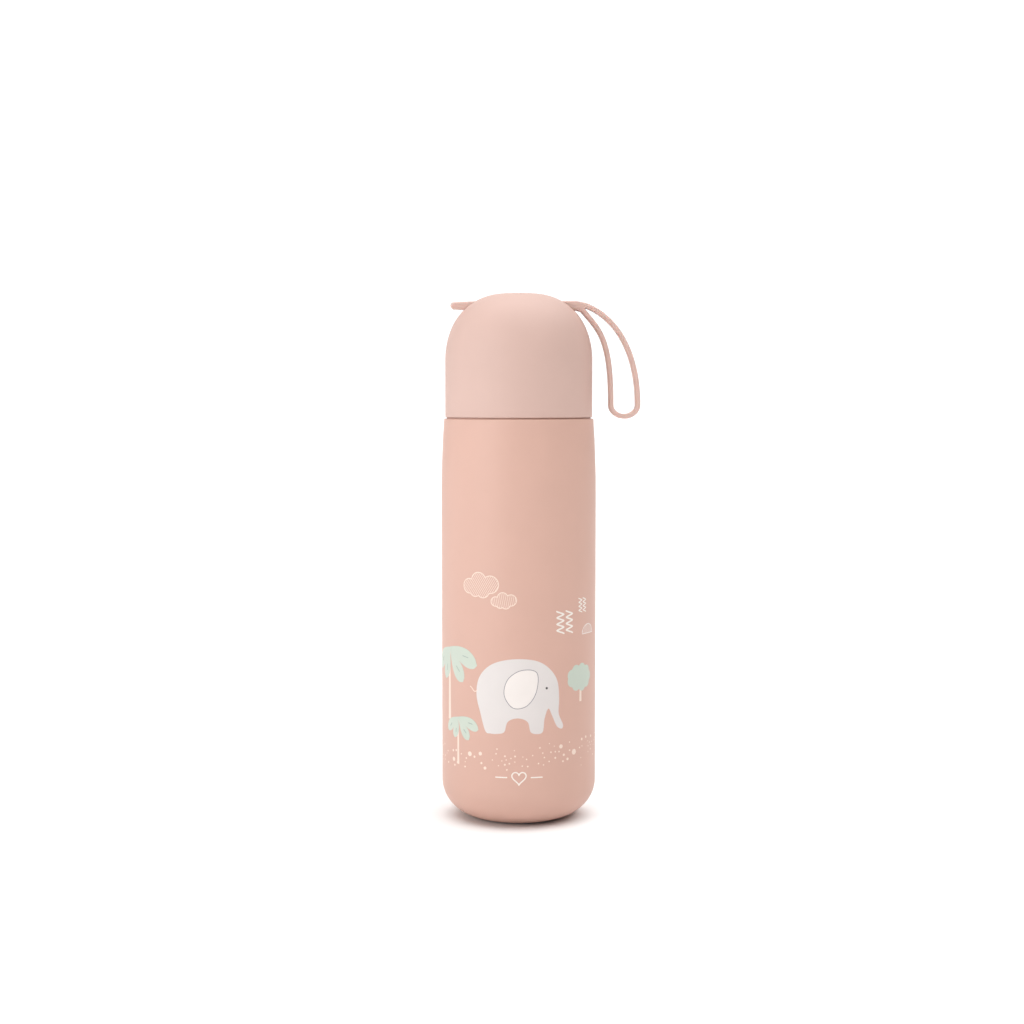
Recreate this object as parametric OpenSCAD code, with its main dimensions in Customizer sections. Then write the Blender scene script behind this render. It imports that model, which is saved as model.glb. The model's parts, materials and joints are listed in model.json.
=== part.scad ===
// Insulated baby bottle: a double-walled vacuum bottle, a screw stopper with a push-button
// valve, a domed screw-on drinking cup and a moulded silicone carry strap.
// Millimetres, +Z up. The origin is the centre of the base, on the surface it stands on.
// The strap's loop hangs on the +X side.

/* [Bottle body] */
// Outside diameter of the straight body
body_d = 71; // [70:0.5:74]
// Height of the body, up to the seam under the cup
seam_z = 184; // [178:1:200]
// Radial width of the rounded base corner
corner_w = 18.8; // [17:0.2:19]
// Height of the rounded base corner
corner_h = 17.1; // [15:0.1:19]
// How far the body draws in, on the radius, just below the seam
taper = 1.2; // [0.8:0.1:1.4]
// Height over which the body draws in
taper_h = 35.5; // [25:0.5:45]
// Thickness of the painted outer steel wall
outer_wall = 0.5; // [0.4:0.05:0.6]
// Thickness of the inner steel wall
inner_wall = 0.4; // [0.35:0.05:0.5]
// Width of the vacuum space between the walls
vacuum_gap = 2.8; // [2.4:0.1:3]

/* [Neck] */
// Inside diameter of the mouth
mouth_d = 48; // [47:0.5:48]
// Height of the neck above the seam
neck_h = 20.4; // [19:0.2:21]
// Pitch of the screw threads
pitch = 4; // [3.5:0.5:4.5]
// Turns of thread
thread_turns = 1.75; // [1:0.25:2]
// Radial space between the crests of two mating threads
thread_clearance = 0.3; // [0.2:0.05:0.4]

/* [Cup] */
// Outside diameter of the cup's straight wall
cup_d = 67.4; // [67:0.1:68]
// Height of the whole bottle, to the top of the dome
total_h = 240.7; // [238:0.1:244]
// Height of the cup's straight wall above the seam
cup_straight = 26.6; // [24:0.2:28]
// Radius of the dome's side arc
dome_side_r = 37; // [35:0.5:39]
// Angle through which the side arc turns before the tighter crown arc
dome_turn = 22; // [18:1:26]
// Thickness of the cup's outer shell
cup_wall = 1.7; // [1.5:0.1:1.8]
// Height of the open groove at the seam
seam_gap = 0.7; // [0.5:0.1:0.9]

/* [Stopper] */
// Diameter of the push button
button_d = 17.8; // [16:0.2:18]
// How far the button travels
button_travel = 3.5; // [2.5:0.5:3.5]
// Grip ribs around the stopper's collar
grip_ribs = 28; // [16:1:36]

/* [Strap] */
// Width of the strap, across the cup
strap_w = 8; // [6:0.5:9]
// Thickness of the strap's shank
shank_t = 4.2; // [3.8:0.1:4.4]
// Thickness of each strand of the loop
strand_t = 2.2; // [1.8:0.1:2.4]
// Height of the strap's centre line below the top of the dome
strap_drop = 5.5; // [5.3:0.1:5.7]
// Length of the tail, from the bottle's axis
tail_l = 31.2; // [29:0.2:34]
// Distance of the loop's flexing line from the bottle's axis
flex_x = 27.6; // [27.2:0.1:28.4]

/* [Hidden] */
$fn = 96;

// Clearances
touch = 0.05;     // between pieces that sit on each other
running = 0.12;   // around a piece that slides or turns
cut = 1;          // how far a cutting shape runs past a face

// Base
body_r = body_d / 2;
foot_r = body_r - corner_w;
base_hole_r = foot_r + 4.3;
base_plate_t = 0.6;
base_plate_z = 2.6;
seal_hole_r = 1.5;
disc_t = 0.8;
inner_floor_z = 9;
weld_z = inner_floor_z + corner_h - 3;

// Body side
vessel_r = body_r - outer_wall - vacuum_gap;
lip_r = body_r - taper;
lip_round = 0.6;
lip_drop = 1;     // from the seam down to where the lip starts to round over
shoulder_z = seam_z - seam_gap / 2;
rim_z = seam_z + seam_gap / 2;
ledge_r = cup_d / 2 - 1.2;
ledge_z = rim_z - 0.1;

// Neck
mouth_r = mouth_d / 2;
neck_gap = 1.4;
neck_r = mouth_r + inner_wall + neck_gap + outer_wall;
neck_top = seam_z + neck_h;
lip_h = 1;
collar_wall = 1.3;
collar_r = neck_r + touch + collar_wall;
collar_h = 13;
rib_h = 0.9;
rib_root = 2.2;
rib_crest = 0.9;
rib_sink = 0.25;
thread_z = seam_z + 5;
throat_h = 22;
throat_z = seam_z - 6;

// Cup
cup_r = cup_d / 2;
dome_z = seam_z + cup_straight;
crown_r = (total_h - dome_z - dome_side_r * sin(dome_turn)) / (1 - sin(dome_turn));
crown_centre = [
    cup_r - dome_side_r + (dome_side_r - crown_r) * cos(dome_turn),
    dome_z + (dome_side_r - crown_r) * sin(dome_turn)
];
liner_wall = 1.2;
liner_r = collar_r + rib_h + thread_clearance + rib_h;
liner_straight_z = seam_z + 28;
liner_flat_r = 14;
liner_top = total_h - 12;
liner_rim_h = 1.6;

// Strap
strap_z = total_h - strap_drop;
tunnel_w = strap_w + 2 * running;
tunnel_h = shank_t + 2 * running;
tunnel_corner = 1.2;
duct_wall = 1.6;
duct_l = 2 * (cup_r - 5);
tail_t = 3.1;
knuckle_r = shank_t / 2;
pin_r = 1.25;
pin_head_r = 2.4;
pin_head_t = 0.8;
pin_roof = 1.2;

// Loop of the strap: its two strands and the round end, in the XZ plane
strand_in_x = 42.2;
strand_out_x = 54.5;
loop_low = 45.2;    // depth of the loop's round end below the strap's centre line
loop_end_h = 5.2;
inner_strand = [
    [flex_x + 0.5, -0.8], [strand_in_x - 5.8, -10.8], [strand_in_x, -13.6], [strand_in_x, -loop_low]
];
outer_strand = [
    [flex_x + 0.5, 0.9], [strand_out_x - 10.6, -3.5], [strand_out_x, -20.4], [strand_out_x, -loop_low]
];
loop_steps = 18;

// Stopper
plug_r = mouth_r - rib_h - thread_clearance - rib_h;
plug_wall = 1.6;
plug_bottom = seam_z - 4;
plug_floor_t = 1.8;
seat_z = plug_bottom - plug_floor_t;
seat_r = 6;
rim_top = neck_top + lip_h;
gasket_t = 1.1;
deck_z = rim_top + touch + gasket_t;
deck_t = 2;
deck_r = neck_r - 0.3;
grip_r = mouth_r + 0.6;
grip_h = 6.9;
grip_top = deck_z + deck_t + grip_h;
grip_wall = 2;
tube_r = 9;
tube_wall = 1.4;
spider_z = seam_z + 9;
spider_t = 1.5;
spider_hub_r = 4;
stem_r = 2;
top_t = 2;
pour_slots = 4;
pour_slot_r = [12.5, 17];
pour_slot_angle = 62;

// Button and valve
button_r = button_d / 2;
button_top = grip_top + top_t + button_travel;
button_wall = 1.2;
button_flange = 1.3;
hub_r = 5.2;
stem_in_hub = 5;  // how far the stem reaches into the button's hub
valve_r = 8.4;
valve_t = 1.8;
seal_t = 2.6;
spring_r = 4.2;
spring_wire = 0.45;
spring_turns = 6;

paint = "#e8bfae";
cup_paint = "#e6c1b3";
silicone = "#dcb9ad";
steel = "#c9cbcd";
copper = "#c87f56";
plastic = "#f3efe9";
foam_white = "#fafaf5";

// ---- Outline helpers ----

// Points on an ellipse about c, with half-axes a and b, from one angle to another
function arc(c, a, b, from, to, steps) = [
    for (i = [0:steps])
    let (t = from + (to - from) * i / steps)
    [c[0] + a * cos(t), c[1] + b * sin(t)]
];

// Points on a cubic Bezier curve through its four control points
function bezier(p, steps) = [
    for (i = [0:steps])
    let (t = i / steps, s = 1 - t)
    s * s * s * p[0] + 3 * s * s * t * p[1] + 3 * s * t * t * p[2] + t * t * t * p[3]
];

function reversed(points) = [for (i = [len(points) - 1:-1:0]) points[i]];

// Unit normal, to the left of the direction of travel, at point i of an open path
function normal(path, i) =
    let (
        d = path[min(i + 1, len(path) - 1)] - path[max(i - 1, 0)]
    )
    [-d[1], d[0]] / norm(d);

// Both sides of a band of thickness t along a path
function band(path, t) = concat(
    [for (i = [0:len(path) - 1]) path[i] + normal(path, i) * t / 2],
    reversed([for (i = [0:len(path) - 1]) path[i] - normal(path, i) * t / 2])
);

// ---- Outlines of the turned pieces: points are [radius, height] ----

// The body's side below the shoulder, set in by a wall's thickness
function body_side(inset) = concat(
    arc([foot_r, corner_h], corner_w - inset, corner_h - inset,
        -acos((base_hole_r - foot_r) / (corner_w - inset)), 0, 16),
    [
        for (i = [0:12])
        let (s = i / 12)
        [body_r - inset - taper * s * s, seam_z - taper_h + s * (taper_h - lip_drop - inset)]
    ]
);

// The steel vessel's side, from its base weld to the top of its neck
function vessel_side(inset) = concat(
    [[vessel_r - inset, weld_z]],
    [
        for (i = [0:16])
        let (s = i / 16)
        [
            mouth_r + inner_wall - inset + (vessel_r - mouth_r - inner_wall) * (1 + cos(180 * s)) / 2,
            throat_z - throat_h * (1 - s)
        ]
    ]
);

// The dome of the cup, from its straight wall to the axis
function dome(inset) = concat(
    arc([cup_r - dome_side_r, dome_z], dome_side_r - inset, dome_side_r - inset, 0, dome_turn, 12),
    arc(crown_centre, crown_r - inset, crown_r - inset, dome_turn + 4, 90, 20),
    [[0, total_h - inset]]
);

// The liner's inside, from its straight wall to the axis
function liner(grow) = concat(
    arc([liner_flat_r, liner_straight_z], liner_r - liner_flat_r + grow,
        liner_top - liner_straight_z + grow, 0, 90, 20),
    [[0, liner_top + grow]]
);

// ---- Shared shapes ----

module tube(r_out, r_in, z, h) {
    translate([0, 0, z])
        difference() {
            cylinder(r = r_out, h = h);
            translate([0, 0, -cut])
                cylinder(r = r_in, h = h + 2 * cut);
        }
}

// A solid through equal rings of points, closed at both ends
module skin(rings) {
    n = len(rings[0]);
    last = len(rings) - 1;
    polyhedron(
        points = [for (ring = rings) each ring],
        faces = concat(
            [[for (j = [0:n - 1]) j]],
            [
                for (i = [0:last - 1], j = [0:n - 1])
                let (k = (j + 1) % n, a = i * n, b = a + n)
                each [[a + j, b + j, b + k], [a + j, b + k, a + k]]
            ],
            [[for (j = [n - 1:-1:0]) last * n + j]]
        )
    );
}

// A screw thread's rib: it stands rib_h proud of radius r, outwards (side = 1) or inwards (-1)
module thread_rib(r, z, side) {
    steps = 36 * thread_turns;
    fade = 4;
    skin([
        for (i = [0:steps])
        let (
            a = i * 10,
            h = z + pitch * a / 360,
            rise = min(1, i / fade, (steps - i) / fade),
            foot = r - side * rib_sink,
            crest = r + side * (0.02 + (rib_h - 0.02) * rise),
            section = [
                [foot, h + side * rib_root / 2], [crest, h + side * rib_crest / 2],
                [crest, h - side * rib_crest / 2], [foot, h - side * rib_root / 2]
            ]
        )
        [for (p = section) [p[0] * cos(a), p[0] * sin(a), p[1]]]
    ]);
}

// A bar along X with the strap's cross-section: w wide, h high, round corners
module rounded_bar(l, w, h, r) {
    rotate([90, 0, 90])
        linear_extrude(height = l, center = true)
        union() {
            square([w - 2 * r, h], center = true);
            square([w, h - 2 * r], center = true);
            for (x = [-1, 1], y = [-1, 1])
                translate([x * (w / 2 - r), y * (h / 2 - r)])
                    circle(r = r, $fn = 48);
        }
}

// ---- Bottle ----

// Painted outer wall with the shoulder and the plain steel neck
module outer_shell() {
    neck_foot = 1.2;
    outside = concat(
        body_side(0),
        arc([lip_r - lip_round, shoulder_z - lip_round], lip_round, lip_round, 10, 90, 5),
        [[ledge_r, shoulder_z], [ledge_r, ledge_z], [neck_r + neck_foot, ledge_z],
         [neck_r, ledge_z + neck_foot], [neck_r, neck_top]]
    );
    inside = concat(
        body_side(outer_wall),
        [[ledge_r - outer_wall, shoulder_z - outer_wall], [ledge_r - outer_wall, ledge_z - outer_wall],
         [neck_r + neck_foot - outer_wall, ledge_z - outer_wall],
         [neck_r - outer_wall, ledge_z + neck_foot], [neck_r - outer_wall, neck_top]]
    );
    color(paint)
        rotate_extrude()
        polygon(concat(outside, reversed(inside)));
}

// Vacuum-tight base, welded inside the rounded corner, with its evacuation hole
module outer_base() {
    rim_t = 0.7;
    rim_low = 0.9;
    color(steel)
        difference() {
            union() {
                translate([0, 0, base_plate_z])
                    cylinder(r = base_hole_r, h = base_plate_t);
                tube(base_hole_r, base_hole_r - rim_t, rim_low, base_plate_z);
            }
            translate([0, 0, base_plate_z - cut])
                cylinder(r = seal_hole_r, h = base_plate_t + 2 * cut);
        }
}

// Visible pressed base, which stands on the flat ring of its foot
module base_disc() {
    edge_r = base_hole_r - 0.8;
    raised = 1.4;
    underside = [
        [0, raised], [foot_r - 2, raised], [foot_r - 0.4, 0.4], [foot_r + 0.2, 0],
        [foot_r + 2.2, 0], [foot_r + 2.8, 0.25], [edge_r, 0.6]
    ];
    color(steel)
        rotate_extrude()
        polygon(concat(underside, reversed([for (p = underside) [p[0], p[1] + disc_t]])));
}

// Plug fused into the evacuation hole
module vacuum_seal() {
    head_t = 0.3;
    color("#7f8a86")
        union() {
            translate([0, 0, base_plate_z - head_t])
                cylinder(r = seal_hole_r + 1, h = head_t);
            translate([0, 0, base_plate_z])
                cylinder(r = seal_hole_r - touch, h = base_plate_t);
        }
}

// Getter capsule that keeps the vacuum clean
module getter() {
    cup = 4;
    wall = 1;
    floor_t = 0.6;
    h = 1.8;
    color("#4b4f52")
        translate([foot_r - 1.5 * cup, 0, base_plate_z + base_plate_t])
        difference() {
            cylinder(r = cup, h = h);
            translate([0, 0, floor_t])
                cylinder(r = cup - wall, h = h);
        }
}

// Inner steel wall: straight, drawn in to the neck, with the stopper's thread and a rolled lip
module inner_vessel() {
    lip_centre = [(mouth_r + neck_r) / 2, neck_top];
    lip_half = (neck_r - mouth_r) / 2;
    outline = concat(
        vessel_side(0),
        [[mouth_r + inner_wall, neck_top], [neck_r, neck_top]],
        arc(lip_centre, lip_half, lip_h, 10, 180, 12),
        reversed(vessel_side(inner_wall))
    );
    color(steel)
        union() {
            rotate_extrude()
                polygon(outline);
            thread_rib(mouth_r, thread_z + 1, -1);
        }
}

// Dished base of the inner vessel
module inner_base() {
    // A quarter of an ellipse, from the flat floor up to the weld with the wall
    function dish(inset) = concat(
        [[0, inner_floor_z + inset]],
        arc([foot_r, weld_z], vessel_r - foot_r - inset, weld_z - inner_floor_z - inset, -90, 0, 16)
    );
    color(steel)
        rotate_extrude()
        polygon(concat(dish(0), reversed(dish(inner_wall))));
}

// Copper foil around the inner wall, which reflects heat back
module radiation_foil() {
    foil_t = 0.1;
    foil_low = inner_floor_z + corner_h;
    foil_high = throat_z - throat_h - 4;
    color(copper)
        tube(vessel_r + touch + foil_t, vessel_r + touch, foil_low, foil_high - foil_low);
}

// Moulded collar on the neck, with the cup's thread
module neck_collar() {
    collar_z = seam_z + 2.5;
    color(plastic)
        union() {
            tube(collar_r, neck_r + touch, collar_z, collar_h);
            thread_rib(collar_r, thread_z, 1);
        }
}

// ---- Stopper ----

// Threaded plug with its deck and ribbed grip
module stopper_body() {
    rib_r = 0.6;
    color(plastic)
        union() {
            tube(plug_r, plug_r - plug_wall, plug_bottom, deck_z - plug_bottom);
            tube(deck_r, tube_r + tube_wall + touch, deck_z, deck_t);
            tube(grip_r, grip_r - grip_wall, deck_z + deck_t, grip_h);
            for (i = [0:grip_ribs - 1])
                rotate(i * 360 / grip_ribs)
                    translate([grip_r, 0, deck_z + deck_t])
                    cylinder(r = rib_r, h = grip_h - 1, $fn = 24);
            thread_rib(plug_r, thread_z + 1, 1);
        }
}

// Floor of the plug, with the valve seat, the pour tube and the stem's spider guide
module stopper_base() {
    spoke_w = 2.2;
    color(plastic)
        difference() {
            union() {
                tube(plug_r, seat_r, seat_z, plug_floor_t);
                tube(tube_r + tube_wall, tube_r, plug_bottom, deck_z + deck_t - plug_bottom);
                translate([0, 0, spider_z])
                    cylinder(r = spider_hub_r, h = spider_t);
                for (i = [0:2])
                    rotate(i * 120)
                        translate([0, -spoke_w / 2, spider_z])
                        cube([tube_r + tube_wall / 2, spoke_w, spider_t]);
            }
            translate([0, 0, spider_z - cut])
                cylinder(r = stem_r + running, h = spider_t + 2 * cut);
        }
}

// Insulating foam inside the plug
module stopper_foam() {
    color(foam_white)
        tube(plug_r - plug_wall - touch, tube_r + tube_wall + touch,
             plug_bottom + touch, deck_z - plug_bottom - 2 * touch);
}

// Silicone ring that seals the deck on the bottle's lip
module stopper_gasket() {
    lip_line = (mouth_r + neck_r) / 2;
    bead_r = 1.1;
    color("#f7f7f4")
        rotate_extrude()
        polygon([
            [lip_line - bead_r, rim_top + touch + 0.3], [lip_line - bead_r + 0.3, rim_top + touch],
            [lip_line + bead_r - 0.3, rim_top + touch], [lip_line + bead_r, rim_top + touch + 0.3],
            [lip_line + bead_r, deck_z], [lip_line - bead_r, deck_z]
        ]);
}

// Cover that snaps into the grip, with the button's hole and the pour slots
module stopper_top() {
    edge = 0.8;
    skirt_h = 3.5;
    skirt_t = 1.2;
    skirt_r = grip_r - grip_wall - touch;
    hole_r = button_r + running;
    color(plastic)
        difference() {
            rotate_extrude()
                polygon(concat(
                    [[hole_r, grip_top + touch], [skirt_r - skirt_t, grip_top + touch],
                     [skirt_r - skirt_t, grip_top - skirt_h], [skirt_r, grip_top - skirt_h],
                     [skirt_r, grip_top + touch], [grip_r, grip_top + touch]],
                    arc([grip_r - edge, grip_top + top_t - edge], edge, edge, 0, 90, 6),
                    [[hole_r, grip_top + top_t]]
                ));
            for (i = [0:pour_slots - 1])
                rotate(i * 360 / pour_slots)
                    rotate_extrude(angle = pour_slot_angle)
                    translate([pour_slot_r[0], grip_top - cut])
                    square([pour_slot_r[1] - pour_slot_r[0], top_t + 2 * cut]);
        }
}

// Button with its retaining flange and the hub that holds the stem
module push_button() {
    flange_top = grip_top;
    edge = 1.5;
    hub_low = flange_top - button_flange;
    color(cup_paint)
        difference() {
            rotate_extrude()
                polygon(concat(
                    [[0, hub_low], [hub_r, hub_low], [hub_r, button_top - button_wall],
                     [button_r - button_wall, button_top - button_wall],
                     [button_r - button_wall, hub_low], [button_r + button_flange, hub_low],
                     [button_r + button_flange, flange_top], [button_r, flange_top]],
                    arc([button_r - edge, button_top - edge], edge, edge, 0, 90, 6),
                    [[0, button_top]]
                ));
            translate([0, 0, hub_low - cut])
                cylinder(r = stem_r, h = stem_in_hub + cut);
        }
}

// Stem with the valve disc at its foot
module valve_stem() {
    disc_z = seat_z - touch - seal_t - valve_t;
    top = grip_top - button_flange + stem_in_hub;
    color(plastic)
        union() {
            translate([0, 0, disc_z])
                cylinder(r = stem_r, h = top - disc_z);
            translate([0, 0, disc_z])
                cylinder(r1 = valve_r - 1, r2 = valve_r, h = valve_t);
        }
}

// Silicone washer on the valve disc, which closes against the seat
module valve_seal() {
    z = seat_z - touch - seal_t;
    edge_r = valve_r - 0.2;
    slope_h = 0.8;
    color("#f7f7f4")
        difference() {
            union() {
                translate([0, 0, z])
                    cylinder(r = edge_r, h = seal_t - slope_h);
                translate([0, 0, z + seal_t - slope_h])
                    cylinder(r1 = edge_r, r2 = seat_r + 1, h = slope_h);
            }
            translate([0, 0, z - cut])
                cylinder(r = stem_r, h = seal_t + 2 * cut);
        }
}

// Compression spring between the spider and the button's hub
module button_spring() {
    low = spider_z + spider_t + spring_wire;
    high = grip_top - button_flange - spring_wire;
    steps_a_turn = 20;
    sides = 6;
    steps = spring_turns * steps_a_turn;
    color("#b9bcc0")
        skin([
            for (i = [0:steps])
            let (a = i * 360 / steps_a_turn, z = low + (high - low) * i / steps)
            [
                for (j = [0:sides - 1])
                let (b = -j * 360 / sides, r = spring_r + spring_wire * cos(b))
                [r * cos(a), r * sin(a), z + spring_wire * sin(b)]
            ]
        ]);
}

// ---- Cup ----

// Painted dome with the strap's tunnel straight through its crown
module cup_shell() {
    rim_edge = 0.4;
    shell = concat(
        [[cup_r - cup_wall, rim_z], [cup_r - rim_edge, rim_z]],
        arc([cup_r - rim_edge, rim_z + rim_edge], rim_edge, rim_edge, -60, 0, 4),
        dome(0),
        reversed(dome(cup_wall))
    );
    color(cup_paint)
        difference() {
            union() {
                rotate_extrude()
                    polygon(shell);
                intersection() {
                    rotate_extrude()
                        polygon(concat([[0, dome_z], [cup_r - cup_wall / 2, dome_z]], dome(cup_wall / 2)));
                    translate([-duct_l / 2, -tunnel_w / 2 - duct_wall, strap_z - tunnel_h / 2 - duct_wall])
                        cube([duct_l, tunnel_w + 2 * duct_wall, total_h]);
                }
            }
            translate([0, 0, strap_z])
                rounded_bar(2 * cup_r, tunnel_w, tunnel_h, tunnel_corner);
            translate([0, 0, strap_z - tunnel_h])
                cylinder(r = pin_r + touch, h = tunnel_h * 1.5 + pin_roof);
        }
}

// Inner drinking cup with its screw thread, pressed into the dome's rim
module cup_liner() {
    outline = concat(
        [[liner_r, rim_z], [cup_r - cup_wall - touch, rim_z],
         [cup_r - cup_wall - touch, rim_z + liner_rim_h],
         [liner_r + liner_wall, rim_z + liner_rim_h + 0.6]],
        liner(liner_wall),
        reversed(liner(0))
    );
    color(plastic)
        union() {
            rotate_extrude()
                polygon(outline);
            thread_rib(liner_r, thread_z + pitch / 2, -1);
        }
}

// Steel pin, pushed in from inside the dome, that holds the strap in its tunnel
module strap_pin() {
    floor_z = strap_z - tunnel_h / 2 - duct_wall;
    top = strap_z + tunnel_h / 2 + pin_roof - 0.2;
    color(steel)
        union() {
            translate([0, 0, floor_z - pin_head_t])
                cylinder(r = pin_head_r, h = pin_head_t);
            translate([0, 0, floor_z])
                cylinder(r = pin_r, h = top - floor_z);
        }
}

// ---- Strap: outlines lie in the XZ plane and are extruded across it ----

module across(w) {
    translate([0, w / 2, strap_z])
        rotate([90, 0, 0])
        linear_extrude(height = w)
        children();
}

// Tail and shank, from the round tip to the flexing line
module strap_shank() {
    taper_x = -18;
    end_x = flex_x - 0.4;
    // Above the knuckle the end leans back, so that the loop can be lifted
    heel = [flex_x - knuckle_r - running, knuckle_r * 0.45];
    heel_lean = 0.35;
    color(silicone)
        difference() {
            intersection() {
                across(strap_w)
                    polygon(concat(
                        [[end_x, heel[1]], heel, [heel[0] - heel_lean, shank_t / 2], [taper_x, shank_t / 2]],
                        arc([-tail_l + tail_t / 2, 0], tail_t / 2, tail_t / 2, 90, 270, 12),
                        [[taper_x, -shank_t / 2], [end_x, -shank_t / 2]]
                    ));
                translate([0, 0, strap_z])
                    rounded_bar(3 * cup_r, strap_w, shank_t, tunnel_corner - running);
            }
            translate([flex_x, strap_w / 2 + cut, strap_z])
                rotate([90, 0, 0])
                cylinder(r = knuckle_r + running, h = strap_w + 2 * cut);
            translate([0, 0, strap_z - shank_t])
                cylinder(r = pin_r + touch, h = 2 * shank_t);
        }
}

// Hanging loop, from the flexing line round the teardrop and back
module strap_loop() {
    overlap = 0.5;
    round_end = concat(
        arc([(strand_in_x + strand_out_x) / 2, -loop_low], (strand_out_x - strand_in_x) / 2,
            loop_end_h, 190, 360, loop_steps),
        [[strand_out_x, overlap - loop_low]]
    );
    color(silicone)
        union() {
            translate([flex_x, strap_w / 2, strap_z])
                rotate([90, 0, 0])
                cylinder(r = knuckle_r, h = strap_w);
            across(strap_w)
                polygon(band(concat(bezier(inner_strand, loop_steps), round_end), strand_t));
            across(strap_w)
                polygon(band(bezier(outer_strand, loop_steps), strand_t));
        }
}

outer_shell();
outer_base();
base_disc();
vacuum_seal();
getter();
inner_vessel();
inner_base();
radiation_foil();
neck_collar();
stopper_body();
stopper_base();
stopper_foam();
stopper_gasket();
stopper_top();
push_button();
valve_stem();
valve_seal();
button_spring();
cup_shell();
cup_liner();
strap_pin();
strap_shank();
strap_loop();
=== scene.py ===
import json
import math
import random

import bmesh
import bpy
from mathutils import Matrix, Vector
from mathutils.geometry import delaunay_2d_cdt


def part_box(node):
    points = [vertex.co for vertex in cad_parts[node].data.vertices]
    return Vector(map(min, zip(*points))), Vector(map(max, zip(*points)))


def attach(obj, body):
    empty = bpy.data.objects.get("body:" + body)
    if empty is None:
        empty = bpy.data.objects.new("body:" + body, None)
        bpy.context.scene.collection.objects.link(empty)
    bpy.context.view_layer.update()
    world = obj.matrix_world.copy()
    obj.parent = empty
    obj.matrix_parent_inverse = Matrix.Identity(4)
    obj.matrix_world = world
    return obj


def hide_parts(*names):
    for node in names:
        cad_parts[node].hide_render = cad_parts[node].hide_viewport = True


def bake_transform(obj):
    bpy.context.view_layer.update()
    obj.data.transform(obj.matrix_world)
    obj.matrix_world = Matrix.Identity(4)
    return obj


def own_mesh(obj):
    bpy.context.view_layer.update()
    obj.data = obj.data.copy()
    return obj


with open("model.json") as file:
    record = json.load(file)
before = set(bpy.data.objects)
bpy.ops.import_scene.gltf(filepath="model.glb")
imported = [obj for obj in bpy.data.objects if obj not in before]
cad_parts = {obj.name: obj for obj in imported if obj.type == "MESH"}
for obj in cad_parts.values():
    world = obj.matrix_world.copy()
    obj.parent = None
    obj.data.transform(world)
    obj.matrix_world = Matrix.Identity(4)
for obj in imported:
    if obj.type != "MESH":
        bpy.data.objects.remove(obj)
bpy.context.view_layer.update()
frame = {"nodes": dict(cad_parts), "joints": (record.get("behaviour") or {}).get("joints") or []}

# Lengths are in millimetres, and are turned into metres where a mesh is made.
MM = 0.001
SEGMENTS = 288


def top(node, axis=2):
    """The highest coordinate of a CAD node, in millimetres."""
    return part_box(node)[1][axis] / MM


def bottom(node, axis=2):
    """The lowest coordinate of a CAD node, in millimetres."""
    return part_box(node)[0][axis] / MM


# ---- Sizes taken from the CAD frame ----
BODY_R = top("outer_shell", 0)
NECK_TOP = top("outer_shell")
CUP_R = top("cup_shell", 0)
CUP_RIM = bottom("cup_shell")
CUP_TOP = top("cup_shell")
STRAP_Z = (top("strap_shank") + bottom("strap_shank")) / 2
STRAP_H = top("strap_shank") - bottom("strap_shank")
STRAP_W = top("strap_shank", 1) - bottom("strap_shank", 1)
TAIL_X = bottom("strap_shank", 0)
JOINTS = {joint["name"]: joint for joint in frame["joints"]}
HINGE = JOINTS["strap_flex"]["pos_m"]
HINGE_X = HINGE[0] / MM

# ---- Sizes of the design ----
CORNER_W = 18.8
CORNER_H = 17.1
FOOT_R = BODY_R - CORNER_W
BASE_HOLE_R = FOOT_R + 4.3
OUTER_WALL = 0.5
TAPER = 1.2
TAPER_H = 35.5
SEAM_Z = 184.0
SEAM_GAP = 0.6
GROOVE_DEPTH = 0.7
NECK_R = 26.3
NECK_FOOT = 1.2
LIP_ROUND = 0.4
LIP_DROP = 1.0
LEDGE_GAP = 0.1
CUP_STRAIGHT = 26.6
DOME_SIDE_R = 37.0
DOME_TURN = 22.0
CUP_WALL = 1.7
TUNNEL_GAP = 0.15
TUNNEL_CORNER = 1.3


# ---- Outlines ----

def arc(centre, a, b, start, end, steps):
    """Points on an ellipse about centre with half-axes a and b, between two angles in degrees."""
    points = []
    for i in range(steps + 1):
        t = math.radians(start + (end - start) * i / steps)
        points.append((centre[0] + a * math.cos(t), centre[1] + b * math.sin(t)))
    return points


def bezier(control, steps):
    """Points on a cubic Bezier curve."""
    points = []
    for i in range(steps + 1):
        t = i / steps
        s = 1 - t
        weights = (s ** 3, 3 * s * s * t, 3 * s * t * t, t ** 3)
        points.append(tuple(sum(w * p[k] for w, p in zip(weights, control)) for k in (0, 1)))
    return points


def closed_spline(control, steps=6):
    """A smooth closed curve through its control points."""
    points = []
    count = len(control)
    for i in range(count):
        p0, p1, p2, p3 = (control[(i + k - 1) % count] for k in range(4))
        for j in range(steps):
            t = j / steps
            points.append(tuple(
                0.5 * (2 * p1[k] + (p2[k] - p0[k]) * t
                       + (2 * p0[k] - 5 * p1[k] + 4 * p2[k] - p3[k]) * t * t
                       + (3 * p1[k] - p0[k] - 3 * p2[k] + p3[k]) * t ** 3)
                for k in (0, 1)))
    return points


def side_normal(points, i, closed=False):
    """The unit normal to the left of a path at point i."""
    count = len(points)
    if closed:
        a, b = points[i - 1], points[(i + 1) % count]
    else:
        a, b = points[max(i - 1, 0)], points[min(i + 1, count - 1)]
    dx, dy = b[0] - a[0], b[1] - a[1]
    length = math.hypot(dx, dy)
    return -dy / length, dx / length


def offset(points, distance, closed=False):
    """A path moved sideways, to the left for a positive distance."""
    moved = []
    for i, (x, y) in enumerate(points):
        nx, ny = side_normal(points, i, closed)
        moved.append((x + nx * distance, y + ny * distance))
    return moved


# ---- Filling of outlines ----

GRID = 1.4
# Triangles smaller than this, in square millimetres, are only rounding on a straight edge
SLIVER = 0.001


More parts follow.
